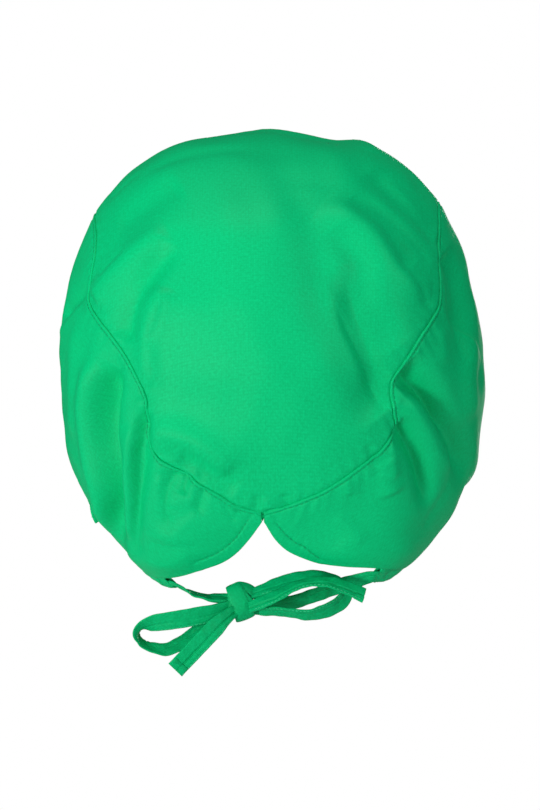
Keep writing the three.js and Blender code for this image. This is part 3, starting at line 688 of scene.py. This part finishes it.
# Faces between rings of points: a tube with two capped ends, or one joined end to end
def tubeFaces(count, sides, base=0, joined=False):
    faces = []
    for n in range(count if joined else count - 1):
        shift = ((n + 1) % count - n) * sides
        for k in range(sides):
            a, b = base + n * sides + k, base + n * sides + (k + 1) % sides
            faces.append((a, b, b + shift, a + shift))
    if not joined:
        faces.append(tuple(base + k for k in range(sides - 1, -1, -1)))
        faces.append(tuple(base + (count - 1) * sides + k for k in range(sides)))
    return faces


def spotAt(run, runs, values):
    return np.array([np.interp(run, runs, values[:, k]) for k in range(3)])


# The rings of one stitch, each its share of the length and of the thread's radius
stitchRings = [(0.0, 0.35), (0.2, 1.0), (0.8, 1.0), (1.0, 0.35)]
stitchSides = 5


# A row of machine stitches: short thread lengths laid on the cloth along a line of points
def stitchRow(points, normals, length=2.3 * mm, gap=0.7 * mm, radius=0.17 * mm, lift=0.1 * mm):
    runs = runsAlong(points)
    corners, faces = [], []
    start = gap
    while start + length < runs[-1]:
        faces += tubeFaces(len(stitchRings), stitchSides, len(corners))
        tangent = spotAt(start + length, runs, points) - spotAt(start, runs, points)
        tangent /= np.linalg.norm(tangent) + 1e-12
        for share, wide in stitchRings:
            spot = spotAt(start + share * length, runs, points)
            normal = spotAt(start + share * length, runs, normals)
            side = np.cross(tangent, normal)
            raised = lift * (1 if 0 < share < 1 else -1.5)
            for a in turnSteps(stitchSides):
                high, aside = raised + radius * wide * math.cos(a), radius * wide * math.sin(a)
                corners.append(spot + normal * high + side * aside)
        start += length + gap
    return corners, faces


def rowsToObject(name, rows, material=thread):
    corners, faces = [], []
    for some, theirs in rows:
        faces += [tuple(len(corners) + k for k in face) for face in theirs]
        corners += some
    made = newObject(name, corners, faces, material)


# The point of each column of the band at a given distance from the seam or from the lower edge
def lineOnBand(distances, wanted, first, last):
    points, normals = [], []
    for c in range(first, last):
        r = int(np.argmin(np.abs(distances[c] - wanted[c])))
        r = min(max(r, 1), distances.shape[1] - 2)
        low, high = (r - 1, r + 1) if distances[c, r + 1] > distances[c, r - 1] else (r + 1, r - 1)
        share = (wanted[c] - distances[c, low]) / (distances[c, high] - distances[c, low])
        points.append(bandGrid[c, low] + (bandGrid[c, high] - bandGrid[c, low]) * share)
        normals.append(bandNormal[c, r])
    return np.array(points), np.array(normals)


def makeBandStitches():
    besideSeam = np.full(len(bandGrid), cloth["ridgeWidth"] + 0.2 * mm)
    line, out = lineOnBand(bandFromSeam, besideSeam, 4, len(bandGrid) - 4)
    rows = [stitchRow(line, out, lift=0.02 * mm)]
    shown, width = hemAt(atStations[:, 2])
    wide = np.flatnonzero((shown > 0.9) & (bandFromSeam[:, -1] > 1.6 * width))
    for some in np.split(wide, np.flatnonzero(np.diff(wide) > 1) + 1):
        line, out = lineOnBand(bandToEdge, width, some[0], some[-1] + 1)
        rows.append(stitchRow(line, out, lift=0))
    rowsToObject("cap_topstitching", rows)
    print("cap stitches made")


makeBandStitches()


# The lower edge at an angle round the cap: point, outward normal and the cloth's way on past it
def edgeFrame(roundDeg):
    wanted = roundDeg - 360 if roundDeg > 0 else roundDeg
    edge, way = bandGrid[:, -1], bandGrid[:, -1] - bandGrid[:, -5]
    turn = atStations[:, 2]
    place = np.interp(-wanted, -turn, np.arange(len(turn)))
    c, share = int(place), place - int(place)
    d = min(c + 1, len(edge) - 1)
    point = edge[c] * (1 - share) + edge[d] * share
    down = way[c] * (1 - share) + way[d] * share
    along = unit(edge[min(c + 2, len(edge) - 1)] - edge[max(c - 2, 0)])
    down = unit(down - along * (down @ along))
    normal = np.cross(along, down)
    return point, unit(normal * np.sign(normal @ (point - form["middle"]))), down


# A rounded value between -1 and 1, drawn out towards the corners of its section
def blunt(value, power):
    return math.copysign(abs(value) ** power, value)


# Rings of points swept into a closed body; a hollow end is sunk in to leave an open mouth
def sweptBody(name, rings, material, flat, mouth=None):
    rings = [np.asarray(r) for r in rings]
    flats = list(flat)
    if mouth:
        wall, depth = mouth
        end, back = rings[-1], rings[-4]
        centre = end.mean(0)
        inward = unit(back.mean(0) - centre)
        spokes = end - centre
        reach = np.linalg.norm(spokes, axis=1)[:, None]
        inside = centre + spokes * np.clip(1 - wall / reach, 0.12, 1)
        for step in (0.0, 0.35, 1.0):
            rings.append(inside + inward * depth * step)
            flats.append(flats[-1])
    faces = tubeFaces(len(rings), len(rings[0]))
    made = newObject(name, np.concatenate(rings), faces, material, np.concatenate(flats))
    faceOutward(made)
    return made


# The casings: each a tunnel from its mouth round to the gather at its side, spans in degrees
casing = {"width": 13 * mm, "thick": 4 * mm, "wall": 0.8 * mm, "steps": 70, "sides": 28, "square": 0.8,
          "mouthHem": 6 * mm, "mouthDeep": 7 * mm, "inset": 2.1 * mm, "lap": 1.2 * mm,
          "waves": [(0.35 * mm, 0.35, 2), (0.12 * mm, 1.1, -2)],
          "spans": {"left": (-43, -79), "right": (39, 78)}}


def makeCasing(side):
    start, end = casing["spans"][side]
    rings, flats = [], []
    run, before = 0, None
    for n in range(casing["steps"] + 1):
        point, normal, down = edgeFrame(end + (start - end) * n / casing["steps"])
        middle = point + down * (casing["width"] / 2 - casing["lap"]) - normal * casing["inset"]
        run += 0 if before is None else np.linalg.norm(middle - before)
        before = middle
        ring = []
        for a in turnSteps(casing["sides"]):
            wide = casing["width"] / 2 * blunt(math.cos(a), casing["square"])
            high = casing["thick"] / 2 + slantWaves(casing["waves"], run, a)
            ring.append(middle + down * wide + normal * high * math.sin(a))
        rings.append(ring)
        flats.append([(run * 1000, 20 * k / casing["sides"]) for k in range(casing["sides"])])
    mouth = (casing["wall"], casing["mouthDeep"])
    made = sweptBody(f"{side}_casing_cloth", rings, poplin, flats, mouth)
    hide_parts(f"{side}_tie_casing")
    ring = np.array(rings[int(casing["steps"] * (1 - casing["mouthHem"] / run))])
    line = ring[:casing["sides"] // 2 + 1]
    out = unit(line - ring.mean(0))
    rowsToObject(f"{side}_casing_stitching", [stitchRow(line, out, 1.8 * mm, 0.6 * mm)])


# The elastic gathers: a short ruffled hem on each side, rooted in the band's edge
gather = {"out": 1.5 * mm, "rootOut": 0.4 * mm, "lap": 2.2 * mm, "width": 8 * mm, "thick": 1.5 * mm,
          "puckers": 11, "wave": 1.2 * mm, "pinch": 0.25 * mm, "bulge": 0.7 * mm,
          "steps": 260, "rows": 14, "stitchedRow": 9, "spans": {"left": (-81, -112), "right": (80, 110)}}


def makeGather(side):
    start, end = gather["spans"][side]
    outer, flat = [], []
    run, before = 0, None
    for n in range(gather["steps"] + 1):
        share = n / gather["steps"]
        point, normal, down = edgeFrame(start + (end - start) * share)
        run += 0 if before is None else np.linalg.norm(point - before)
        before = point
        phase = 2 * math.pi * gather["puckers"] * share + 0.5 * math.sin(9 * share)
        wave = gather["wave"] * (0.9 * math.sin(phase) + 0.2 * math.sin(2 * phase + 1))
        column, coords = [], []
        for r in range(gather["rows"] + 1):
            deep = r / gather["rows"]
            swell = gather["pinch"] * math.cos(phase * 2) + gather["bulge"]
            spot = point + down * ((gather["width"] + gather["lap"]) * deep - gather["lap"])
            ruffle = wave * min(1, deep * 2.2) * (0.5 + 0.5 * deep)
            stand = gather["rootOut"] + (gather["out"] - gather["rootOut"]) * deep
            column.append(spot + normal * (ruffle + swell * math.sin(math.pi * deep) + stand))
            coords.append((run * 1000, deep * 8))
        outer.append(column)
        flat.append(coords)
    outer = np.array(outer)
    normal = gridNormals(outer)
    inner = outer - normal * gather["thick"]
    made = wallBody(f"{side}_gather_cloth", outer, inner, poplin, np.array(flat))
    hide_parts(f"{side}_elastic_gather")
    line, out = outer[:, gather["stitchedRow"]], normal[:, gather["stitchedRow"]]
    rowsToObject(f"{side}_gather_stitching", [stitchRow(line, out, 1.9 * mm, 0.6 * mm)])


for side in ("left", "right"):
    makeCasing(side)
for side in ("left", "right"):
    makeGather(side)
print("casings and gathers made")

# The bow: a folded tape, which is squeezed at the knot and hollow at the end of a tail
tape = {"width": 10.4 * mm, "thick": 1.2 * mm, "steps": 110, "sides": 56, "mouthDepth": 3 * mm,
        "mouthInset": 1 * mm, "mouthWidth": {"left": 0.45, "right": 0.75}, "squeeze": 0.62,
        "valley": 0.35 * mm, "tailValley": 1.15 * mm, "valleyAt": 0.2, "cup": 0.25 * mm,
        "seamGroove": 0.2 * mm, "seamAt": 0.74, "stitchesAt": 0.84, "stitchesFrom": 12 * mm,
        "tailEnd": 9 * mm, "tailWall": 0.45 * mm, "tailDeep": 5 * mm,
        "waves": [(0.14 * mm, 0.55, 3), (0.1 * mm, 0.9, -2)]}
knotPlace = np.array([-16.5, -86, -72.6]) * mm
# Each tape's route in millimetres with its turn in degrees, as the model has them
routes = {
    "left_tie_lead": [(-42, -76, -68.5, 78), (-34, -79.5, -70.5, 74), (-27, -82, -71, 52),
                      (-18, -85, -71.5, 45)],
    "right_tie_lead": [(36, -80, -64.5, 35), (27, -81, -68, 42), (12, -79.5, -73, 42),
                       (-2, -80, -76, 30), (-14, -83, -76.5, 12)],
    "left_loop": [(-22, -89, -74.5, 20), (-33, -95, -78.6, 15), (-49, -98, -81.6, 15),
                  (-62, -97, -83.6, 28), (-69.5, -93.5, -86.4, 62), (-71.5, -90, -90.6, 78),
                  (-69.5, -88, -94.6, 72), (-63.5, -87, -97.4, 62), (-55, -86, -98.2, 50),
                  (-45.5, -84.5, -93.5, 45), (-34, -85, -85.5, 35), (-24, -88, -80.5, 20)],
    "right_loop": [(-12, -87, -69.5, 40), (-2, -89, -65.5, 45), (11, -89, -61.2, 45),
                   (24, -89.5, -59.5, 45), (34.5, -88.5, -62, 50), (40, -87.5, -67.5, 45),
                   (37.5, -88, -73, 40), (30, -89.5, -77, 42), (20, -91, -79.3, 55),
                   (7, -91, -77.8, 62), (-6, -89, -77, 50)],
    "left_tail": [(-19, -90, -77, 10), (-25.5, -97, -82, 5), (-33, -101.5, -89.6, 5),
                  (-41, -103, -98, 10), (-51, -103.5, -108.4, 15)],
    "right_tail": [(-11, -94, -75.5, 35), (2, -99.5, -69.8, 55), (16, -99.5, -63, 65),
                   (29, -100.5, -61.6, 60), (40.5, -100, -64.8, 50), (50, -98.5, -69, 45)],
}


def casingMiddle(degrees):
    point, normal, down = edgeFrame(degrees)
    return point + down * (form["edgeGap"] + casing["width"] / 2) - normal * tape["mouthInset"], down


# A lead's route begins inside its casing's mouth, where the tape lies flat along the way down
def leadRoute(name, side):
    start, end = casing["spans"][side]
    middle, down = casingMiddle(start)
    out = unit(middle - casingMiddle(start + (end - start) / 8)[0])
    turn = routes[name][0][3]
    led = [(*(middle + out * run) / mm, turn) for run in (-tape["mouthDepth"], tape["mouthDepth"])]
    return led + routes[name], down


# How far a folded tape's face stands out at a place across it: flat sides, a valley and a seam
def tapeFace(run, flatX, flatY, puff, valley, hand):
    dent = valley * bell(flatX, tape["valleyAt"] * hand, 0.1) - tape["cup"] * flatX ** 2
    groove = tape["seamGroove"] * bell(flatX, tape["seamAt"] * hand, 0.06) * flatY
    return tape["thick"] / 2 * flatY * puff + dent - groove + slantWaves(tape["waves"], run, flatX)


def makeTape(name):
    side = name.split("_")[0]
    isLead, isTail = name.endswith("lead"), name.endswith("tail")
    route, mouthDown = leadRoute(name, side) if isLead else (routes[name], None)
    places = np.linspace(0, len(route) - 1, tape["steps"] + 1)
    line = throughRows(route, places)
    points = line[:, :3] * mm
    along = unit(np.gradient(points, axis=0))
    turn = np.radians(line[:, 3])[:, None]
    level = unit(np.cross(along, [0, 1, 0]))
    across = level * np.cos(turn) + np.cross(level, along) * np.sin(turn)
    width = np.full(len(points), tape["width"])
    if isLead:
        freed = eased(np.clip((places - 1) / 1.2, 0, 1))
        flatWay = mouthDown * np.where(across @ mouthDown < 0, -1, 1)[:, None]
        across = across * freed[:, None] + flatWay * (1 - freed)[:, None]
        across = unit(across - along * (across * along).sum(1)[:, None])
        width = width * (tape["mouthWidth"][side] * (1 - freed) + freed)
    thickWay = np.cross(across, along)
    runs = runsAlong(points)
    hand = 1 if side == "left" else -1
    nearKnot = np.linalg.norm(points - knotPlace, axis=1)
    opened = np.clip((nearKnot - 9 * mm) / (14 * mm), 0, 1)
    width = width * (tape["squeeze"] + (1 - tape["squeeze"]) * opened)
    rings, flats, edgeLine, edgeOut = [], [], [], []
    half = tape["sides"] // 2
    for n, point in enumerate(points):
        puff = 1 + 1.3 * (1 - opened[n])
        if isTail:
            puff += 1.2 * np.clip((runs[n] - runs[-1]) / tape["tailEnd"] + 1, 0, 1) ** 2
        valley = tape["tailValley"] if isTail else tape["valley"]
        valley *= 0.8 + 0.2 * math.sin(runs[n] / mm * 0.21)
        ring, coords = [], []
        for k in range(tape["sides"]):
            face = 1 if k < half else -1
            flatX = face * (1 - 2 * ((k % half) + 0.5) / half)
            flatY = face * (1 - abs(flatX) ** 8) ** 0.5
            offset = tapeFace(runs[n], flatX, flatY, puff, valley, hand)
            ring.append(point + across[n] * width[n] / 2 * flatX + thickWay[n] * offset)
            coords.append((runs[n] * 1000, flatX * 5.5 + (14 if face < 0 else 0)))
        rings.append(ring)
        flats.append(coords)
        if nearKnot[n] > tape["stitchesFrom"]:
            front = thickWay[n] * (tape["thick"] / 2 * puff * 0.9 + 0.2 * mm)
            edgeLine.append(point + across[n] * width[n] / 2 * tape["stitchesAt"] * hand - front)
            edgeOut.append(-thickWay[n])
    mouth = (tape["tailWall"], tape["tailDeep"]) if isTail else None
    made = sweptBody(f"{name}_tape", rings, tapeShadedCloth, flats, mouth)
    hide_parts(name)
    if not isLead:
        row = stitchRow(np.array(edgeLine), np.array(edgeOut), 1.5 * mm, 0.6 * mm, 0.16 * mm, 0.04 * mm)
        rowsToObject(f"{name}_stitching", [row], paleThread)


for name in routes:
    makeTape(name)
print("ties made")

# The knot: a flat band of tape drawn round the crossing, a turned flap beside it and the turns
# inside. Each wrap is its tilt in degrees, its size, its width and how far it is slid along.
knot = {"halfDepth": 6.2 * mm, "halfHeight": 10.2 * mm, "lean": -21, "thick": 1.3 * mm, "sunk": 0.8 * mm,
        "wraps": [(0, 1.0, 9.6 * mm, -0.3 * mm), (16, 0.86, 8 * mm, 2.2 * mm),
                  (-14, 0.84, 8 * mm, -2.4 * mm)],
        "wrapSteps": 80, "core": (7.4 * mm, 6.6 * mm, 4.6 * mm), "coreSteps": 20, "coreSides": 32,
        "flapSteps": 24, "sectionSides": 24}
# The flap's course in millimetres, and its width
flap = [(-21, -88, -63.8, 0.0), (-17, -88.5, -63.6, 4), (-12.5, -88, -65.2, 6),
        (-8.8, -86.5, -67.8, 6.5), (-6.5, -84, -71, 5.5)]


def addGrid(corners, faces, rows, joined):
    faces += tubeFaces(len(rows), len(rows[0]), len(corners), joined)
    for row in rows:
        corners.extend(row)


def bandSection(centre, along, out, width, dish):
    row = []
    for b in turnSteps(knot["sectionSides"]):
        flatX, flatY = blunt(math.cos(b), 0.6), blunt(math.sin(b), 0.6)
        high = knot["thick"] / 2 * flatY + dish * (1 - flatX ** 2)
        row.append(centre + along * width / 2 * flatX + out * high)
    return row


def wrapRows(side, rise, rear, tilt, size, width, slide):
    c, s = math.cos(math.radians(tilt)), math.sin(math.radians(tilt))
    along, up = side * c + rise * s, rise * c - side * s
    rows = []
    for a in turnSteps(knot["wrapSteps"]):
        tall, deep = blunt(math.cos(a), 0.75), blunt(math.sin(a), 0.75)
        out = unit(up * math.cos(a) * knot["halfDepth"] + rear * math.sin(a) * knot["halfHeight"])
        high, back = knot["halfHeight"] - knot["sunk"], knot["halfDepth"] - knot["sunk"]
        centre = knotPlace + along * slide + (up * tall * high + rear * deep * back) * size
        dish = 0.35 * mm + 0.12 * mm * math.sin(4 * a + tilt)
        rows.append(bandSection(centre, along, out, width * (1 - 0.13 * tall), dish))
    return rows


def coreRows(side, rise, rear):
    long, high, deep = knot["core"]
    rows = []
    for n in range(1, knot["coreSteps"]):
        a = math.pi * n / knot["coreSteps"]
        row = []
        for b in turnSteps(knot["coreSides"]):
            lump = math.sin(a) * (1 + 0.05 * math.sin(3 * b + 2 * a))
            about = rise * high * math.cos(b) + rear * deep * math.sin(b)
            row.append(knotPlace + side * long * math.cos(a) + about * lump)
        rows.append(row)
    return rows


def flapRows():
    last = knot["flapSteps"]
    line = throughRows(flap, np.linspace(0, len(flap) - 1, last + 1))
    rows = []
    for n in range(last + 1):
        ahead = unit(line[min(n + 1, last), :3] - line[max(n - 1, 0), :3])
        facing = np.array([0.7, -0.6, 0.35])
        out = unit(facing - ahead * (facing @ ahead))
        width = (line[n, 3] + 0.5) * mm
        rows.append(bandSection(line[n, :3] * mm, np.cross(ahead, out), out, width, 0.2 * mm))
    return rows


def makeKnot():
    lean = math.radians(knot["lean"])
    side = np.array([math.cos(lean), 0, -math.sin(lean)])
    rise = np.array([math.sin(lean), 0, math.cos(lean)])
    rear = np.array([0, -1.0, 0])
    corners, faces = [], []
    for wrap in knot["wraps"]:
        addGrid(corners, faces, wrapRows(side, rise, rear, *wrap), True)
    addGrid(corners, faces, coreRows(side, rise, rear), False)
    addGrid(corners, faces, flapRows(), False)
    points = np.array(corners)
    flat = (points[:, [0, 2]] - knotPlace[[0, 2]]) * 1000
    made = newObject("knot_tape", points, faces, tapeShadedCloth, flat)
    faceOutward(made)
    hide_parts("knot")
    print("knot made")


makeKnot()

# A pale floor well below and a white surround, seen in full and lighting little
studio = {"floorDown": -0.30, "floorRadius": 1.45, "floorSides": 96, "surround": 0.06,
          "aim": (0, -0.02, 0.02)}
# The main light is low on the left and softer ones stand round it: place, breadth and power
lights = {
    "key": ((-1.3, -2.0, -0.3), 0.6, 33),
    "soft": ((-0.72, -2.3, 0.3), 0.8, 4),
    "side": ((-2.2, -0.9, -0.2), 0.9, 15),
    "fill": ((1.8, -1.6, 0.95), 0.9, 19),
    "front": ((0.3, 2.5, 0.1), 1.0, 14),
    "top": ((-0.3, -0.6, 2.3), 1.0, 23),
}


def makeFloor():
    material = bpy.data.materials.new("pale painted floor")
    material.use_nodes = True
    shader = material.node_tree.nodes["Principled BSDF"]
    shader.inputs["Base Color"].default_value = hexLinear("#F2F2F2")
    shader.inputs["Roughness"].default_value = 0.9
    ring = []
    for a in np.linspace(0, 2 * math.pi, studio["floorSides"], endpoint=False):
        across, ahead = studio["floorRadius"] * math.cos(a), studio["floorRadius"] * math.sin(a)
        ring.append((across, ahead, studio["floorDown"]))
    mesh = bpy.data.meshes.new("floor")
    mesh.from_pydata(ring, [], [tuple(range(len(ring)))])
    mesh.materials.append(material)
    floor = bpy.data.objects.new("floor", mesh)
    bpy.context.scene.collection.objects.link(floor)


def makeSurround():
    world = bpy.data.worlds.new("white studio")
    world.use_nodes = True
    tree = world.node_tree
    background = tree.nodes["Background"]
    seen = addNode(tree, "ShaderNodeLightPath")
    strength = addNode(tree, "ShaderNodeMapRange", {"Value": seen.outputs["Is Camera Ray"]},
                       in_3=studio["surround"], in_4=1.0)
    tree.links.new(strength.outputs[0], background.inputs["Strength"])
    background.inputs["Color"].default_value = (1, 1, 1, 1)
    bpy.context.scene.world = world


def makeLight(name, place, size, power):
    data = bpy.data.lights.new(name, "AREA")
    data.shape = "DISK"
    data.size = size
    data.energy = power
    lamp = bpy.data.objects.new(name, data)
    lamp.location = place
    ahead = Vector(studio["aim"]) - Vector(place)
    lamp.rotation_euler = ahead.to_track_quat("-Z", "Y").to_euler()
    bpy.context.scene.collection.objects.link(lamp)


makeFloor()
makeSurround()
for name, (place, size, power) in lights.items():
    makeLight(name, place, size, power)
bpy.context.scene.view_settings.view_transform = "Standard"
